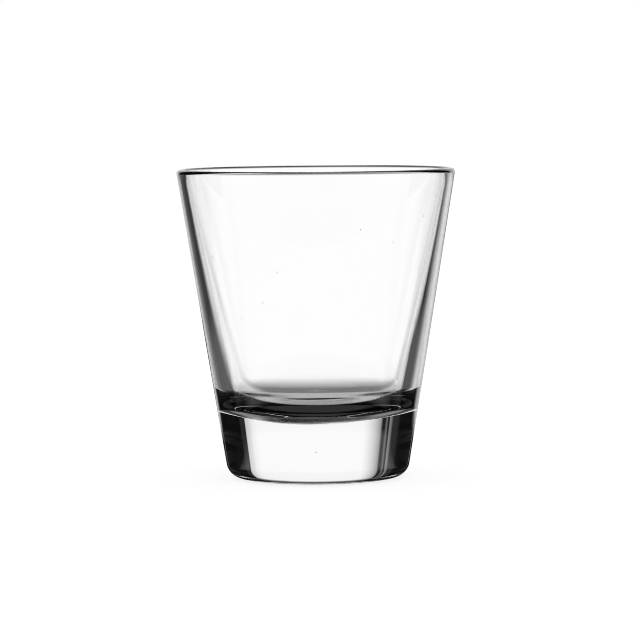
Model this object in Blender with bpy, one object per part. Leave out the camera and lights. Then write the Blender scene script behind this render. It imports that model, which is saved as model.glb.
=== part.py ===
"""A double old fashioned glass: one solid of clear glass, turned about the Z axis.

Sizes are in metres. The origin is the middle of the foot, on the table, and +Z is up.
Outlines are drawn in the (r, z) plane: r is the distance from the axis and z the height.
"""

import math

import bpy
from mathutils import Vector

# Driving dimensions
HEIGHT = 0.1065  # from the table to the crown of the lip
RIM_DIAMETER = 0.096  # outside, across the widest part of the lip
BASE_DIAMETER = 0.0618  # outside, where the straight side would reach the table unrounded
LIP_THICKNESS = 0.0026  # across the full-round lip
HEEL_WALL = 0.0067  # wall beside the cup's floor, level with the floor's lowest point
FLOOR_THICKNESS = 0.0213  # solid glass under the middle of the cup
FLOOR_CURVE = 0.080  # radius of the shallow dish that the cup's floor makes
HEEL_RADIUS = 0.010  # round between the cup's wall and its floor
FOOT_RADIUS = 0.0055  # round between the outer side and the underside
RING_WIDTH = 0.005  # flat ring that the glass stands on
PUNT_DEPTH = 0.0008  # height of the hollow inside that ring

# How finely round shapes are divided
SEGMENTS = 80  # around the axis
ARC_STEP = math.radians(12)  # along the small rounds of the outline
DISH_STEPS = 6  # along the floor's dish, and along the hollow underneath

# Clear soda-lime glass
GLASS_COLOUR = (0.97, 0.98, 0.98, 1.0)
GLASS_ROUGHNESS = 0.02
GLASS_INDEX = 1.52

QUARTER_TURN = math.pi / 2
AXIS_MERGE = 0.00001  # points this near the axis close into one


def turned(direction, angle):
    """The (r, z) direction turned by an angle, anticlockwise where r runs right and z runs up."""
    cosine, sine = math.cos(angle), math.sin(angle)
    return Vector((direction.x * cosine - direction.y * sine, direction.x * sine + direction.y * cosine))


def angle_of(direction):
    """The angle of an (r, z) direction above the outward level."""
    return math.atan2(direction.y, direction.x)


def arc(centre, radius, start, end, steps):
    """Points along an arc, both ends included."""
    turns = [start + (end - start) * i / steps for i in range(steps + 1)]
    return [centre + radius * Vector((math.cos(turn), math.sin(turn))) for turn in turns]


def round_arc(centre, radius, start, end):
    """An arc divided by the step for small rounds."""
    return arc(centre, radius, start, end, max(2, math.ceil(abs(end - start) / ARC_STEP)))


def tangent_point(start, centre, radius, side):
    """Where the line from a point touches a circle: side -1 passes it outside, +1 inside."""
    reach = centre - start
    opening = math.asin(radius / reach.length)
    return start + turned(reach, side * opening) * math.cos(opening)


def lip_centre():
    """The middle of the lip's round section."""
    radius = LIP_THICKNESS / 2
    return Vector((RIM_DIAMETER / 2 - radius, HEIGHT - radius))


def outer_side():
    """The straight outer side: its unrounded bottom end, and its top end on the lip."""
    bottom = Vector((BASE_DIAMETER / 2, 0.0))
    return bottom, tangent_point(bottom, lip_centre(), LIP_THICKNESS / 2, -1)


def inner_side():
    """The straight inner side: its unrounded bottom end, level with the floor, and its top end."""
    outer_bottom, outer_top = outer_side()
    outer_at_floor = outer_bottom.lerp(outer_top, FLOOR_THICKNESS / outer_top.y)
    bottom = Vector((outer_at_floor.x - HEEL_WALL, FLOOR_THICKNESS))
    return bottom, tangent_point(bottom, lip_centre(), LIP_THICKNESS / 2, +1)


def heel_centre(dish_centre):
    """The middle of the round that touches both the inner side and the floor's dish."""
    bottom, top = inner_side()
    along = (top - bottom).normalized()
    offset_start = bottom + HEEL_RADIUS * turned(along, QUARTER_TURN)
    from_dish = offset_start - dish_centre
    nearest = from_dish.dot(along)
    reach = FLOOR_CURVE - HEEL_RADIUS
    return offset_start - along * (nearest + math.sqrt(nearest**2 - from_dish.length_squared + reach**2))


def cup_outline():
    """The inside, from the middle of the floor to where the straight wall begins."""
    dish_centre = Vector((0.0, FLOOR_THICKNESS + FLOOR_CURVE))
    heel = heel_centre(dish_centre)
    bottom, top = inner_side()
    dish_edge = angle_of(heel - dish_centre)
    wall_edge = angle_of(top - bottom) - QUARTER_TURN
    dish = arc(dish_centre, FLOOR_CURVE, -QUARTER_TURN, dish_edge, DISH_STEPS)
    heel_round = round_arc(heel, HEEL_RADIUS, dish_edge, wall_edge)
    return dish + heel_round[1:]


def lip_outline():
    """The full-round lip, from the inner side over the crown to the outer side."""
    centre = lip_centre()
    inside, outside = inner_side()[1], outer_side()[1]
    up_to_crown = round_arc(centre, LIP_THICKNESS / 2, angle_of(inside - centre), QUARTER_TURN)
    crown_to_widest = round_arc(centre, LIP_THICKNESS / 2, QUARTER_TURN, 0.0)
    widest_to_side = round_arc(centre, LIP_THICKNESS / 2, 0.0, angle_of(outside - centre))
    return up_to_crown + crown_to_widest[1:] + widest_to_side[1:]


def foot_outline():
    """The rounded foot below the outer side, the standing ring and the underside, in to the axis."""
    bottom, top = outer_side()
    lean = QUARTER_TURN - angle_of(top - bottom)
    rise = FOOT_RADIUS * (1 - math.sin(lean)) / math.cos(lean)
    across = bottom.x - FOOT_RADIUS * math.cos(lean) + rise * math.sin(lean)
    foot_round = round_arc(Vector((across, FOOT_RADIUS)), FOOT_RADIUS, -lean, -QUARTER_TURN)
    return foot_round + punt_outline(across - RING_WIDTH)


def punt_outline(radius):
    """The shallow hollow under the glass, from the standing ring to the axis."""
    curve = (radius**2 + PUNT_DEPTH**2) / (2 * PUNT_DEPTH)
    centre = Vector((0.0, PUNT_DEPTH - curve))
    edge = angle_of(Vector((radius, 0.0)) - centre)
    return arc(centre, curve, edge, QUARTER_TURN, DISH_STEPS)


def clear_glass():
    """Clear, smooth, colourless glass."""
    material = bpy.data.materials.new("clear_glass")
    material.use_nodes = True
    shader = material.node_tree.nodes["Principled BSDF"]
    shader.inputs["Base Color"].default_value = GLASS_COLOUR
    shader.inputs["Metallic"].default_value = 0.0
    shader.inputs["Roughness"].default_value = GLASS_ROUGHNESS
    shader.inputs["IOR"].default_value = GLASS_INDEX
    shader.inputs["Transmission Weight"].default_value = 1.0
    return material


def turned_solid(name, outline, material):
    """A solid made by turning an outline, drawn from axis to axis, about Z."""
    mesh = bpy.data.meshes.new(name)
    points = [(point.x, 0.0, point.y) for point in outline]
    mesh.from_pydata(points, [(i, i + 1) for i in range(len(points) - 1)], [])
    mesh.materials.append(material)
    solid = bpy.data.objects.new(name, mesh)
    bpy.context.scene.collection.objects.link(solid)
    screw = solid.modifiers.new("turn", "SCREW")
    screw.axis = "Z"
    screw.steps = SEGMENTS
    screw.render_steps = SEGMENTS
    screw.use_smooth_shade = True
    screw.use_merge_vertices = True
    screw.merge_threshold = AXIS_MERGE
    return solid


def main():
    for old in list(bpy.data.objects):
        bpy.data.objects.remove(old)
    turned_solid("tumbler", cup_outline() + lip_outline() + foot_outline(), clear_glass())


main()
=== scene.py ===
# %% [markdown]
# # A double old fashioned glass
#
# This lesson dresses one tumbler of clear glass. The part itself is already built at its real size, and
# it loads here as a fixed frame. We keep its box.

# %% Load the frame
import math

import bpy
from mathutils import Matrix, Vector


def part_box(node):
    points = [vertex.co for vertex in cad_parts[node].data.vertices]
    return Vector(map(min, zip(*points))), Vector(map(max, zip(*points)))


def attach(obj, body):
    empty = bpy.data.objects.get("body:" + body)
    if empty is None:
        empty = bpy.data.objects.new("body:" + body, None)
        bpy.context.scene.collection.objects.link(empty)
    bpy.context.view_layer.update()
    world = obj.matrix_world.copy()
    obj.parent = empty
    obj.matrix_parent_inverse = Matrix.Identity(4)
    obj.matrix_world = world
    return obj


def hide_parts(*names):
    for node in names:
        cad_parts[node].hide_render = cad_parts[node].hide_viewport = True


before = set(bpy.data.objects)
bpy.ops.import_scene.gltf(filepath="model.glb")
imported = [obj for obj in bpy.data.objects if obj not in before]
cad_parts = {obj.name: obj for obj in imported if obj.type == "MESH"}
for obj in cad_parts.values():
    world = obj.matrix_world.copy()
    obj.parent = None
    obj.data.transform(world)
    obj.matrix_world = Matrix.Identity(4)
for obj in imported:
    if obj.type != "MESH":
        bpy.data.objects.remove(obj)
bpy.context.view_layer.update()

# %% [markdown]
# ## Camera
#
# The glass was photographed from a little above its rim with a long lens, so its sides hardly converge.
# The camera tips down until the mouth shows as a thin ellipse, and leans a touch sideways, as a hand-held
# one does.

# %% Camera
CAMERA_PLACE = Vector((0.00107, -1.25, 0.13738))
CAMERA_TIP = math.radians(3.81)
CAMERA_LEAN = math.radians(-0.47)
CAMERA_LENS = 203.95
SENSOR = 36.0
CAMERA_SIGHT = 20.0

camera_data = bpy.data.cameras.new("camera")
camera_data.lens = CAMERA_LENS
camera_data.sensor_width = SENSOR
camera_data.clip_end = CAMERA_SIGHT
camera = bpy.data.objects.new("camera", camera_data)
bpy.context.scene.collection.objects.link(camera)
aim = Matrix.Rotation(math.pi / 2 - CAMERA_TIP, 3, "X") @ Matrix.Rotation(CAMERA_LEAN, 3, "Z")
camera.rotation_euler = aim.to_euler()
camera.location = CAMERA_PLACE
bpy.context.scene.camera = camera
print("camera", tuple(camera.location), "lens", CAMERA_LENS)

# %% [markdown]
# ## The outline of the glass
#
# A tumbler is made in a mould and is round about its axis, so half of its section says everything: the
# dish of the floor, the round heel, the straight inner wall, the full-round lip, the straight outer wall,
# the round foot, the ring that it stands on and the hollow underneath. Height and rim come from the
# frame. Each round touches its neighbours, so its ends are worked out as tangent points and not typed in.

# %% Sizes
high_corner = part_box("tumbler")[1]
RIM_RADIUS = high_corner.x
HEIGHT = high_corner.z
BASE_RADIUS = 0.0309
LIP_RADIUS = 0.0013
FLOOR_HEIGHT = 0.0213
HEEL_WALL = 0.0067
FLOOR_CURVE = 0.080
HEEL_RADIUS = 0.010
FOOT_RADIUS = 0.0055
RING_WIDTH = 0.005
PUNT_DEPTH = 0.0008
MILLIMETRES = 1000.0
FINE_STEP = math.radians(4)
QUARTER_TURN = math.pi / 2
print(f"rim {2 * MILLIMETRES * RIM_RADIUS:.1f} mm across, {MILLIMETRES * HEIGHT:.1f} mm high")


# %% Points along a round or a straight stretch
def angle_of(direction):
    return math.atan2(direction.y, direction.x)


def arc(centre, radius, start, end, step=FINE_STEP):
    count = max(2, math.ceil(abs(end - start) / step))
    turns = [start + (end - start) * i / count for i in range(count + 1)]
    return [centre + radius * Vector((math.cos(turn), math.sin(turn))) for turn in turns]


def straight(start, end, count):
    return [start.lerp(end, i / count) for i in range(1, count)]


def tangent_point(start, centre, radius, side):
    reach = centre - start
    opening = side * math.asin(radius / reach.length)
    turned = Matrix.Rotation(opening, 2) @ reach
    return start + turned * math.cos(opening)


print("helpers: angle_of, arc, straight, tangent_point")

# %% Where the walls run
lip_centre = Vector((RIM_RADIUS - LIP_RADIUS, HEIGHT - LIP_RADIUS))
outer_low = Vector((BASE_RADIUS, 0.0))
outer_high = tangent_point(outer_low, lip_centre, LIP_RADIUS, -1)
outer_at_floor = outer_low.lerp(outer_high, FLOOR_HEIGHT / outer_high.y)
inner_low = Vector((outer_at_floor.x - HEEL_WALL, FLOOR_HEIGHT))
inner_high = tangent_point(inner_low, lip_centre, LIP_RADIUS, +1)
lip_thickness = 2 * MILLIMETRES * LIP_RADIUS
print(f"wall {MILLIMETRES * HEEL_WALL:.1f} mm at the floor, {lip_thickness:.1f} mm at the lip")

# %% The cup, from the middle of its floor up the inside
WALL_STEPS = 24
DISH_STEP = math.radians(0.15)
HEEL_STEP = math.radians(2)

dish_centre = Vector((0.0, FLOOR_HEIGHT + FLOOR_CURVE))
inner_along = (inner_high - inner_low).normalized()
heel_start = inner_low + HEEL_RADIUS * Vector((-inner_along.y, inner_along.x))
heel_reach = heel_start - dish_centre
heel_near = heel_reach.dot(inner_along)
heel_drop = heel_near**2 - heel_reach.length_squared + (FLOOR_CURVE - HEEL_RADIUS) ** 2
heel_centre = heel_start - inner_along * (heel_near + math.sqrt(heel_drop))
dish_edge = angle_of(heel_centre - dish_centre)
wall_edge = angle_of(inner_along) - QUARTER_TURN
dish = arc(dish_centre, FLOOR_CURVE, -QUARTER_TURN, dish_edge, DISH_STEP)
heel = arc(heel_centre, HEEL_RADIUS, dish_edge, wall_edge, HEEL_STEP)
dish_width = 2 * MILLIMETRES * dish[-1].x
print(f"dish {dish_width:.1f} mm across, heel round {MILLIMETRES * HEEL_RADIUS:.1f} mm")

# %% [markdown]
# ## Marks of the plunger
#
# The plunger that presses a cup can leave faint rings on its floor. They are only hundredths of a
# millimetre high, but thick glass shows them as fine streaks along the edge of the floor. A small wave
# along the dish draws them, swelling and dying away between two distances from the axis.

# %% Rings on the floor of the cup
RING_FROM = 0.006
RING_TO = 0.0205
RING_SPACING = 0.0014
RING_HEIGHT = 0.00005


def ring_wave(point):
    through = (point.x - RING_FROM) / (RING_TO - RING_FROM)
    swell = math.sin(math.pi * min(max(through, 0.0), 1.0)) ** 2
    return RING_HEIGHT * swell * math.sin(2 * math.pi * point.x / RING_SPACING)


ringed_floor = [point + Vector((0.0, ring_wave(point))) for point in dish + heel[1:]]
cup = ringed_floor + straight(heel[-1], inner_high, WALL_STEPS)
print("cup outline:", len(cup), "points")

# %% The lip, and the outside down to the foot
inner_side = angle_of(inner_high - lip_centre)
outer_side = angle_of(outer_high - lip_centre)
lip = arc(lip_centre, LIP_RADIUS, inner_side, QUARTER_TURN)
lip += arc(lip_centre, LIP_RADIUS, QUARTER_TURN, 0.0)[1:]
lip += arc(lip_centre, LIP_RADIUS, 0.0, outer_side)[1:]
wall_lean = QUARTER_TURN - angle_of(outer_high - outer_low)
foot_rise = FOOT_RADIUS * (1 - math.sin(wall_lean)) / math.cos(wall_lean)
foot_across = BASE_RADIUS - FOOT_RADIUS * math.cos(wall_lean) + foot_rise * math.sin(wall_lean)
foot = arc(Vector((foot_across, FOOT_RADIUS)), FOOT_RADIUS, -wall_lean, -QUARTER_TURN)
outer_wall = straight(outer_high, foot[0], WALL_STEPS) + foot
print("lip and outside:", len(lip) + len(outer_wall), "points")

# %% The hollow underneath
PUNT_STEP = math.radians(0.4)

punt_radius = foot_across - RING_WIDTH
punt_curve = (punt_radius**2 + PUNT_DEPTH**2) / (2 * PUNT_DEPTH)
punt_centre = Vector((0.0, PUNT_DEPTH - punt_curve))
punt_edge = angle_of(Vector((punt_radius, 0.0)) - punt_centre)
punt = arc(punt_centre, punt_curve, punt_edge, QUARTER_TURN, PUNT_STEP)
outline = cup + lip + outer_wall + punt
print("whole outline:", len(outline), "points")

# %% [markdown]
# ## Turning the glass
#
# A lathe makes round shapes by turning, and Blender's Spin does the same. We start from a small plane,
# merge it to one point in the middle of the cup's floor, and extrude that point along the outline. Spin
# then sweeps the outline round the axis. The ends on the axis and the seam are merged, and the normals
# are worked out afresh, because glass that is inside out bends light the wrong way.

# %% Draw the outline and spin it
ROUND_STEPS = 288
MERGE = 0.000001

bpy.ops.object.select_all(action="DESELECT")
bpy.ops.mesh.primitive_plane_add(size=LIP_RADIUS, location=(0.0, 0.0, FLOOR_HEIGHT))
glass = bpy.context.object
glass.name = "tumbler_glass"
bpy.ops.object.transform_apply(location=True, rotation=True, scale=True)
bpy.ops.object.mode_set(mode="EDIT")
bpy.ops.mesh.select_all(action="SELECT")
bpy.ops.mesh.merge(type="CENTER")
for here, there in zip(outline, outline[1:]):
    step = Vector((there.x - here.x, 0.0, there.y - here.y))
    bpy.ops.mesh.extrude_region_move(TRANSFORM_OT_translate={"value": step})
bpy.ops.mesh.select_all(action="SELECT")
bpy.ops.mesh.spin(steps=ROUND_STEPS, angle=2 * math.pi, center=(0, 0, 0), axis=(0, 0, 1))
bpy.ops.mesh.select_all(action="SELECT")
bpy.ops.mesh.remove_doubles(threshold=MERGE)
bpy.ops.mesh.normals_make_consistent(inside=False)
bpy.ops.object.mode_set(mode="OBJECT")
bpy.ops.object.shade_smooth()
print("glass:", len(glass.data.vertices), "points,", len(glass.data.polygons), "faces")

# %% [markdown]
# ## A floor that is not quite even
#
# Thick glass stays soft longest, so the floor of a cup can sag a little, and this one seems to, off to
# one side. Seen through the base, that small sag tips the dark lens and draws its lower edge rounder. A
# soft hollow needs no new faces: each point of the floor sinks by an amount that dies away smoothly from
# the lowest place.

# %% Sag of the floor
SAG_PLACE = Vector((-0.0045, 0.0))
SAG_REACH = 0.016
SAG_DEPTH = 0.0007
BELOW_CUP = FLOOR_HEIGHT / 2

for point in glass.data.vertices:
    off = (point.co.xy - SAG_PLACE).length / SAG_REACH
    if off < 1.0 and point.co.z > BELOW_CUP:
        point.co.z -= SAG_DEPTH * (1.0 - off**2) ** 2
print(f"the floor sags {MILLIMETRES * SAG_DEPTH:.2f} mm")

# %% [markdown]
# ## Clear glass
#
# Clear glass has almost no colour of its own: what we see is the room, bent and mirrored. The shader's
# own sockets hold what is the same all over, its full transmission and its index of refraction. Nodes add
# the small faults of a plain tumbler: a few specks, a breath of tint, faint smears that dull the polish,
# and a slow waviness that makes the dark edges waver. All of them read Object coordinates, so they stay
# on the glass.

# %% Node helpers
def node(tree, kind, **values):
    made = tree.nodes.new(kind)
    for name, value in values.items():
        setattr(made, name, value)
    return made


def feed(tree, socket, value):
    """Link an output to a socket, or set the socket to a plain value."""
    if isinstance(value, bpy.types.NodeSocket):
        tree.links.new(value, socket)
    else:
        socket.default_value = value


def reckon(tree, operation, first, second=0.0):
    made = node(tree, "ShaderNodeMath", operation=operation)
    feed(tree, made.inputs[0], first)
    feed(tree, made.inputs[1], second)
    return made.outputs[0]


def pick(tree, choice, at_none, at_full):
    """One of two values, or a blend of both where the choice lies between none and one."""
    made = node(tree, "ShaderNodeMix", data_type="FLOAT")
    sockets = made.inputs[0], made.inputs[2], made.inputs[3]  # factor, first value, second value
    for socket, value in zip(sockets, (choice, at_none, at_full)):
        feed(tree, socket, value)
    return made.outputs[0]


def levels(tree, value, points):
    """A graph through (value, level) points, flat beyond both ends."""
    low, high = points[0][0], points[-1][0]
    span = node(tree, "ShaderNodeMapRange")
    span.inputs["From Min"].default_value = low
    span.inputs["From Max"].default_value = high
    feed(tree, span.inputs["Value"], value)
    ramp = node(tree, "ShaderNodeValToRGB")
    stops = ramp.color_ramp.elements
    while len(stops) < len(points):
        stops.new(1.0)
    for stop, (position, level) in zip(stops, points):
        stop.position = (position - low) / (high - low)
        stop.color = (level, level, level, 1.0)
    feed(tree, ramp.inputs["Fac"], span.outputs["Result"])
    return ramp.outputs["Color"]


print("helpers: node, feed, reckon, pick, levels")

# %% Specks, tint and smears of the glass
SPECK_CELLS = 200.0  # to the metre
SPECK_SIZE = 0.06  # of a cell
SPECK_RARITY = 0.9
SPECK_SHADE = 0.3
TINT_CLOUDS = 45.0
TINT = [(0.35, 0.997), (0.65, 1.0)]
SMEAR_CLOUDS = 70.0
SMEARS = [(0.5, 0.0), (0.75, 0.015)]

clear_glass = bpy.data.materials.new("clear_glass")
clear_glass.use_nodes = True
tree = clear_glass.node_tree
place = node(tree, "ShaderNodeTexCoord").outputs["Object"]


def texture(kind, scale):
    made = node(tree, kind)
    feed(tree, made.inputs["Vector"], place)
    made.inputs["Scale"].default_value = scale
    return made.outputs


cells = texture("ShaderNodeTexVoronoi", SPECK_CELLS)
kept = node(tree, "ShaderNodeSeparateColor")
feed(tree, kept.inputs[0], cells["Color"])
rare = reckon(tree, "GREATER_THAN", kept.outputs[0], SPECK_RARITY)
speck = reckon(tree, "MULTIPLY", rare, reckon(tree, "LESS_THAN", cells["Distance"], SPECK_SIZE))
tint = levels(tree, texture("ShaderNodeTexNoise", TINT_CLOUDS)[0], TINT)
clarity = pick(tree, speck, tint, SPECK_SHADE)
smears = levels(tree, texture("ShaderNodeTexNoise", SMEAR_CLOUDS)[0], SMEARS)
print("specks of", MILLIMETRES * SPECK_SIZE / SPECK_CELLS, "mm")

# %% Glass material
WAVE_CLOUDS = 60.0
WAVE_HEIGHT = 0.00002
GLASS_INDEX = 1.52

waves = node(tree, "ShaderNodeBump")
waves.inputs["Strength"].default_value = 1.0
waves.inputs["Distance"].default_value = WAVE_HEIGHT
feed(tree, waves.inputs["Height"], texture("ShaderNodeTexNoise", WAVE_CLOUDS)[0])
shader = tree.nodes["Principled BSDF"]
feed(tree, shader.inputs["Base Color"], clarity)
feed(tree, shader.inputs["Roughness"], smears)
feed(tree, shader.inputs["Normal"], waves.outputs["Normal"])
shader.inputs["Metallic"].default_value = 0.0
shader.inputs["IOR"].default_value = GLASS_INDEX
shader.inputs["Transmission Weight"].default_value = 1.0
glass.data.materials.append(clear_glass)
print("material:", clear_glass.name, len(tree.nodes), "nodes")

# %% Seat the glass in the frame
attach(glass, "root")
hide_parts("tumbler")
print("rides on root, stands for tumbler")

# %% [markdown]
# ## Floor
#
# Glass looks like glass because of what stands round it, so glassware is photographed on a polished
# sheet, with white paper behind it and black card beside it. To the camera this floor is plain white
# paper with a soft shadow. Seen through the glass it has the rest of that set: a shade close to the foot,
# the polished sheet, and paper in front and at both sides. Two dark strips behind the glass mirror in its
# outside, and draw a thin line along the edges of its walls. All distances are in millimetres from the
# axis of the glass. Each graph of levels is a short list of points, a place and how bright it is there,
# set against the photograph.
# Seen through the glass, the shade close to the foot is a painted shadow, with a lighter painted ring
# behind the foot and a painted glow further out at the sides. The floor shows them only to light that
# comes by way of the glass.

# %% Floor
FLOOR_GAP = 0.0003
FLOOR_RADIUS = 3.0
FLOOR_CORNERS = 96

bpy.ops.object.select_all(action="DESELECT")
bpy.ops.mesh.primitive_circle_add(vertices=FLOOR_CORNERS, radius=FLOOR_RADIUS, fill_type="NGON")
floor = bpy.context.object
floor.name = "floor"
floor.location.z = -FLOOR_GAP
bpy.ops.object.transform_apply(location=True, rotation=True, scale=True)
print("floor", 2 * FLOOR_RADIUS, "m across")

# %% Places on the floor
DEGREES = 180 / math.pi
HALF = 0.5  # between none and one, to tell them apart


def bearing_of(tree, across, along):
    """Degrees from straight behind the glass, positive towards +X."""
    return reckon(tree, "MULTIPLY", reckon(tree, "ARCTAN2", across, along), DEGREES)


sheet = bpy.data.materials.new("floor_sheet")
sheet.use_nodes = True
tree = sheet.node_tree
tree.nodes.clear()
path = node(tree, "ShaderNodeLightPath").outputs
spot = node(tree, "ShaderNodeVectorMath", operation="SCALE")
feed(tree, spot.inputs["Vector"], node(tree, "ShaderNodeTexCoord").outputs["Object"])
feed(tree, spot.inputs["Scale"], MILLIMETRES)
split = node(tree, "ShaderNodeSeparateXYZ")
feed(tree, split.inputs[0], spot.outputs["Vector"])
across, along = split.outputs["X"], split.outputs["Y"]
length = node(tree, "ShaderNodeVectorMath", operation="LENGTH")
feed(tree, length.inputs[0], spot.outputs["Vector"])
away = length.outputs["Value"]
bearing = bearing_of(tree, across, along)
turned = reckon(tree, "ABSOLUTE", bearing)
mirrored = reckon(tree, "GREATER_THAN", path["Glossy Depth"], HALF)
outside = reckon(tree, "LESS_THAN", path["Transmission Depth"], HALF)
print("floor places: distance and bearing from the glass")

# %% The floor seen straight through the glass
# Painted shadow on the floor round the foot, shown only through the glass: grey under the foot, darkest
# just outside it and fading to white further out beside it. Behind the foot there is a slightly lighter
# painted ring, then painted shade.
PAINTED_SHADE_UNDER_GLASS = [(0, 0.45), (27, 0.45)]
PAINTED_SHADE_BESIDE = PAINTED_SHADE_UNDER_GLASS + [(30, 0.3), (50, 0.45), (70, 0.62), (90, 0.76), (115, 0.92), (140, 1.0)]
PAINTED_SHADE_BEHIND = PAINTED_SHADE_UNDER_GLASS + [(30, 0.45), (44, 0.5), (50, 0.3), (57, 0.14), (75, 0.15), (85, 0.2)]
SHEET_BEARINGS = [(-26, 0.0), (-19, 1.0), (24, 1.0), (32, 0.0)]
SHEET_FROM = [(60, 0.0), (85, 1.0)]

behind = levels(tree, bearing, SHEET_BEARINGS)
seen_through = pick(tree, behind, levels(tree, away, PAINTED_SHADE_BESIDE), levels(tree, away, PAINTED_SHADE_BEHIND))
through_sheet = reckon(tree, "MULTIPLY", behind, levels(tree, away, SHEET_FROM))
straight_shine = reckon(tree, "MULTIPLY", through_sheet, path["Is Transmission Ray"])
print("the sheet shines from", SHEET_FROM[0][0], "mm out")

# %% Paper at both sides and in front, for light that is mirrored in the glass
LEFT_SLOPE = 1.94
RIGHT_SLOPE = 2.17
LEFT_PAPER = [(-225, 1.0), (-190, 0.5), (-175, 0.25), (-150, 0.0)]
RIGHT_PAPER = [(-275, 1.0), (-237, 0.3), (-222, 0.0)]
SIDE_PAPER_FROM = [(85, 0.0), (125, 1.0)]
FRONT_BEARINGS = [(100, 0.0), (112, 1.0)]
FRONT_PAPER = [(38, 0.0), (44, 1.0), (76, 1.0), (83, 0.0), (104, 0.0), (112, 1.0)]

left_line = reckon(tree, "ADD", along, reckon(tree, "MULTIPLY", across, LEFT_SLOPE))
right_line = reckon(tree, "SUBTRACT", along, reckon(tree, "MULTIPLY", across, RIGHT_SLOPE))
sides = reckon(tree, "MAXIMUM", levels(tree, left_line, LEFT_PAPER), levels(tree, right_line, RIGHT_PAPER))
side_paper = reckon(tree, "MULTIPLY", sides, levels(tree, away, SIDE_PAPER_FROM))
front = levels(tree, turned, FRONT_BEARINGS)
front_paper = reckon(tree, "MULTIPLY", front, levels(tree, away, FRONT_PAPER))
paper_here = reckon(tree, "MAXIMUM", front_paper, reckon(tree, "SUBTRACT", side_paper, outside))
print("paper in front from", FRONT_PAPER[0][0], "mm, at the sides from", SIDE_PAPER_FROM[0][0], "mm")

# %% Dark strips behind the glass, for light off its outside
SHINE_OUTSIDE_FROM = [(110, 0.0), (160, 1.0)]
LEFT_STRIP = [(-20, 0.0), (-18, 1.0), (-5, 1.0), (-3, 0.0)]
LEFT_STRIP_TO = [(560, 1.0), (680, 0.0)]
RIGHT_STRIP = [(3, 0.0), (5, 0.5), (16, 0.5), (18, 0.0)]

left_strip = reckon(tree, "MULTIPLY", levels(tree, bearing, LEFT_STRIP), levels(tree, away, LEFT_STRIP_TO))
strips = reckon(tree, "MAXIMUM", left_strip, levels(tree, bearing, RIGHT_STRIP))
between_strips = reckon(tree, "SUBTRACT", 1.0, strips)
shine_outside = reckon(tree, "MULTIPLY", levels(tree, away, SHINE_OUTSIDE_FROM), between_strips)
print("dark strips from", LEFT_STRIP[0][0], "to", RIGHT_STRIP[-1][0], "degrees")

# %% The floor seen by way of a mirroring
# Painted shade on the floor near the foot, a painted glow further out at the sides, and painted near-black
# for light off the outside of the glass; the floor shows these only to light mirrored in or off the glass.
SHADE = [(28, 0.03), (36, 0.01), (41, 0.02), (45, 0.22), (60, 0.27)]
SHADE_BEARINGS = [(18, 1.0), (23, 0.03), (100, 0.03), (120, 1.0)]
PAINTED_GLOW_FROM = [(85, 0.0), (100, 1.0)]
PAINTED_GLOW_BEARINGS = [(28, 0.0), (34, 1.0)]
OUTSIDE_SHADE = 0.01
SHINE_FROM = [(58, 0.0), (85, 0.92), (190, 0.92), (250, 1.0)]
FLOOR_MIRRORINGS = [(1, 1.0), (2, 0.05), (3, 0.03)]

shiny = pick(tree, outside, levels(tree, away, SHINE_FROM), shine_outside)
mirrored_shine = reckon(tree, "MULTIPLY", shiny, reckon(tree, "SUBTRACT", 1.0, paper_here))
painted_glow = reckon(tree, "MULTIPLY", levels(tree, away, PAINTED_GLOW_FROM), levels(tree, turned, PAINTED_GLOW_BEARINGS))
shade = reckon(tree, "MULTIPLY", levels(tree, away, SHADE), levels(tree, turned, SHADE_BEARINGS))
shade = reckon(tree, "MAXIMUM", painted_glow, shade)
lit = reckon(tree, "MAXIMUM", paper_here, pick(tree, outside, shade, OUTSIDE_SHADE))
seen_mirrored = reckon(tree, "MULTIPLY", lit, levels(tree, path["Glossy Depth"], FLOOR_MIRRORINGS))
print("mirrored light finds the sheet from", SHINE_FROM[0][0], "mm out")

# %% Put the floor together
CAMERA_GLOW = 0.82
CAMERA_PAPER = 0.23
POLISH_BLUR = 0.03

glass_sees = pick(tree, mirrored, seen_through, seen_mirrored)
shown = pick(tree, path["Is Camera Ray"], glass_sees, CAMERA_GLOW)
glow = node(tree, "ShaderNodeEmission")
feed(tree, glow.inputs["Strength"], pick(tree, path["Is Diffuse Ray"], shown, 0.0))
paper = node(tree, "ShaderNodeBsdfDiffuse")
feed(tree, paper.inputs["Color"], reckon(tree, "MULTIPLY", path["Is Camera Ray"], CAMERA_PAPER))
white = node(tree, "ShaderNodeAddShader")
feed(tree, white.inputs[0], glow.outputs[0])
feed(tree, white.inputs[1], paper.outputs[0])
polish = node(tree, "ShaderNodeBsdfGlossy")
polish.inputs["Color"].default_value = (1.0, 1.0, 1.0, 1.0)
polish.inputs["Roughness"].default_value = POLISH_BLUR
both = node(tree, "ShaderNodeMixShader")
feed(tree, both.inputs[0], pick(tree, mirrored, straight_shine, mirrored_shine))
feed(tree, both.inputs[1], white.outputs[0])
feed(tree, both.inputs[2], polish.outputs[0])
out = node(tree, "ShaderNodeOutputMaterial")
feed(tree, out.inputs["Surface"], both.outputs[0])
floor.data.materials.append(sheet)
print("floor material:", len(tree.nodes), "nodes")

# %% [markdown]
# ## Backdrop
#
# The world stands for the backdrop: white paper behind the glass, to the sides and in front, with black
# card in the corners between. The black card draws the dark edges that make a clear glass readable on
# white, and the two slits in it draw the fine light lines at the left of the base. Light Path says how
# the light got here: straight through the glass, off the polished sheet, mirrored inside the glass, or
# off its outside. The photographed set differs a little for each, so each has its own graph of levels.

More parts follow.
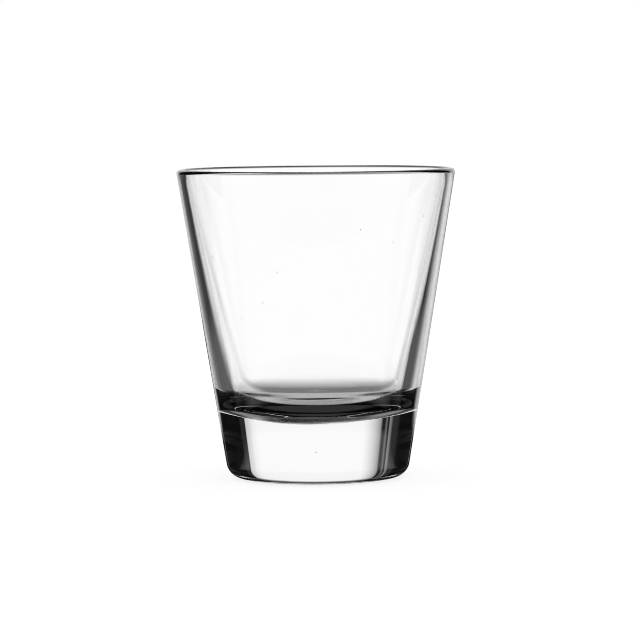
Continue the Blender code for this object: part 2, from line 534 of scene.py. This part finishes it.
# %% Directions of the backdrop
world = bpy.data.worlds.new("studio")
bpy.context.scene.world = world
world.use_nodes = True
tree = world.node_tree
tree.nodes.clear()
path = node(tree, "ShaderNodeLightPath").outputs
split = node(tree, "ShaderNodeSeparateXYZ")
feed(tree, split.inputs[0], node(tree, "ShaderNodeTexCoord").outputs["Generated"])
bearing = bearing_of(tree, split.outputs["X"], split.outputs["Y"])
turned = reckon(tree, "ABSOLUTE", bearing)
rise = reckon(tree, "MULTIPLY", reckon(tree, "ARCSINE", split.outputs["Z"]), DEGREES)
off_sheet = reckon(tree, "SUBTRACT", 1.0, path["Is Transmission Ray"])
mirrorings = reckon(tree, "SUBTRACT", path["Glossy Depth"], off_sheet)
print("backdrop directions: bearing and rise")

# %% Straight through the glass, or off the sheet behind it
LEFT_CARD = [(-83, 1.0), (-78, 0.004), (-46, 0.004), (-43, 0.025), (-38.2, 0.03)]
WIDE_SLIT = [(-37.4, 0.13), (-36.2, 0.24), (-35.6, 0.24), (-35, 0.01)]
NARROW_SLIT = [(-34, 0.01), (-33.4, 0.17), (-32.8, 0.17), (-32.2, 0.015)]
LEFT_EDGE = [(-30, 0.015), (-29.3, 0.3), (-27.3, 0.5), (-24.6, 0.71), (-22, 0.88), (-19.4, 1.0)]
RIGHT_CARD = [(27.5, 1.0), (31, 0.9), (33.2, 0.74), (35.2, 0.68), (35.9, 0.6), (36.3, 0.02), (40, 0.025),
              (41, 0.004), (78, 0.004), (83, 1.0)]
FRONT_CARDS = [(105, 1.0), (110, 0.02), (146, 0.02), (152, 1.0)]
FALL_THROUGH = [(28, 1.0), (36, 0.12), (60, 0.05)]
FALL_ON_SHEET = [(12, 1.0), (13.5, 0.95), (16.5, 0.78), (19.5, 0.56), (23.5, 0.37), (28, 0.16),
                 (36, 0.04), (46, 0.04), (57, 0.9)]

left_side = LEFT_CARD + WIDE_SLIT + NARROW_SLIT + LEFT_EDGE
cards_behind = levels(tree, bearing, left_side + RIGHT_CARD)
cards_round = reckon(tree, "MULTIPLY", cards_behind, levels(tree, turned, FRONT_CARDS))
through = reckon(tree, "MULTIPLY", cards_round, levels(tree, rise, FALL_THROUGH))
on_sheet = reckon(tree, "MULTIPLY", cards_behind, levels(tree, rise, FALL_ON_SHEET))
print("black card from", LEFT_CARD[1][0], "to", LEFT_EDGE[-1][0], "degrees, and on the right")

# %% Mirrored inside the glass
LOW_BEHIND = [(4, 1.0), (8.5, 0.06)]
LOW_ELSEWHERE = [(18, 1.0), (26, 0.05), (90, 0.03)]
LOW_BESIDE = [(3, 1.0), (4.5, 0.03)]
BEHIND_TO_BESIDE = [(30, 0.0), (36, 1.0)]
CROSSOVER = [(52, 0.0), (66, 1.0)]
MIRRORINGS_BESIDE = [(1, 1.0), (2, 0.6), (3, 0.1), (4, 0.01)]
MIRRORINGS_IN_FRONT = [(1, 1.0), (2, 0.06), (3, 0.03)]
IN_FRONT = [(120, 0.0), (140, 1.0)]

ahead = levels(tree, turned, CROSSOVER)
to_side = levels(tree, turned, BEHIND_TO_BESIDE)
low = pick(tree, to_side, levels(tree, rise, LOW_BEHIND), levels(tree, rise, LOW_BESIDE))
low = pick(tree, ahead, low, levels(tree, rise, LOW_ELSEWHERE))
beside = levels(tree, mirrorings, MIRRORINGS_BESIDE)
in_front = levels(tree, mirrorings, MIRRORINGS_IN_FRONT)
inside = reckon(tree, "MULTIPLY", low, pick(tree, levels(tree, turned, IN_FRONT), beside, in_front))
print("mirrored backdrop ends at", LOW_BEHIND[1][0], "degrees behind")

# %% Mirrored inside the glass and then off the sheet, or off the outside of the glass
SHEET_CARDS = [(-80, 0.06), (-26, 0.06), (-20, 0.16), (-16, 0.3), (-10, 0.6), (-6, 0.9), (0, 1.0),
               (15, 1.0), (20, 0.9), (24, 0.7), (28, 0.36), (31, 0.15), (36, 0.03), (80, 0.03)]
SHEET_MIRRORINGS = [(1, 1.0), (2, 0.05), (3, 0.03)]
OUTSIDE_CARDS = [(-76, 1.0), (-70, 0.02), (-28, 0.02), (-20, 1.0), (28, 1.0), (36, 0.02), (68, 0.02),
                 (74, 1.0)]
OUTSIDE_FALL = [(20, 1.0), (45, 0.3)]

in_sheet = levels(tree, bearing, SHEET_CARDS)
in_sheet = reckon(tree, "MULTIPLY", in_sheet, levels(tree, mirrorings, SHEET_MIRRORINGS))
sheen = reckon(tree, "MULTIPLY", levels(tree, bearing, OUTSIDE_CARDS), levels(tree, rise, OUTSIDE_FALL))
print("outside of the glass mirrors card up to", OUTSIDE_CARDS[-2][0], "degrees")

# %% Put the backdrop together
mirrored = reckon(tree, "GREATER_THAN", mirrorings, HALF)
straight_in = pick(tree, off_sheet, through, on_sheet)
mirrored_in = pick(tree, off_sheet, inside, in_sheet)
refracted = reckon(tree, "GREATER_THAN", path["Transmission Depth"], HALF)
glass_sees = pick(tree, refracted, sheen, pick(tree, mirrored, straight_in, mirrored_in))
plain = reckon(tree, "MAXIMUM", path["Is Camera Ray"], path["Is Diffuse Ray"])
background = node(tree, "ShaderNodeBackground")
background.inputs["Color"].default_value = (1.0, 1.0, 1.0, 1.0)
feed(tree, background.inputs["Strength"], pick(tree, plain, glass_sees, 1.0))
out = node(tree, "ShaderNodeOutputWorld")
feed(tree, out.inputs["Surface"], background.outputs[0])
print("backdrop:", len(tree.nodes), "nodes")

# %% [markdown]
# ## Render values
#
# Light goes in and out of thick glass many times before it gets to the backdrop. Too few bounces would
# leave black patches in the heel and the base, so the scene allows more than usual. Colours stay as they
# are made.

# %% Render values
BOUNCES = 24
MIRROR_BOUNCES = 16
PIXEL_BLUR = 1.0

scene = bpy.context.scene
scene.view_settings.view_transform = "Standard"
scene.cycles.max_bounces = BOUNCES
scene.cycles.transmission_bounces = BOUNCES
scene.cycles.glossy_bounces = MIRROR_BOUNCES
scene.cycles.filter_width = PIXEL_BLUR
print("bounces:", BOUNCES)
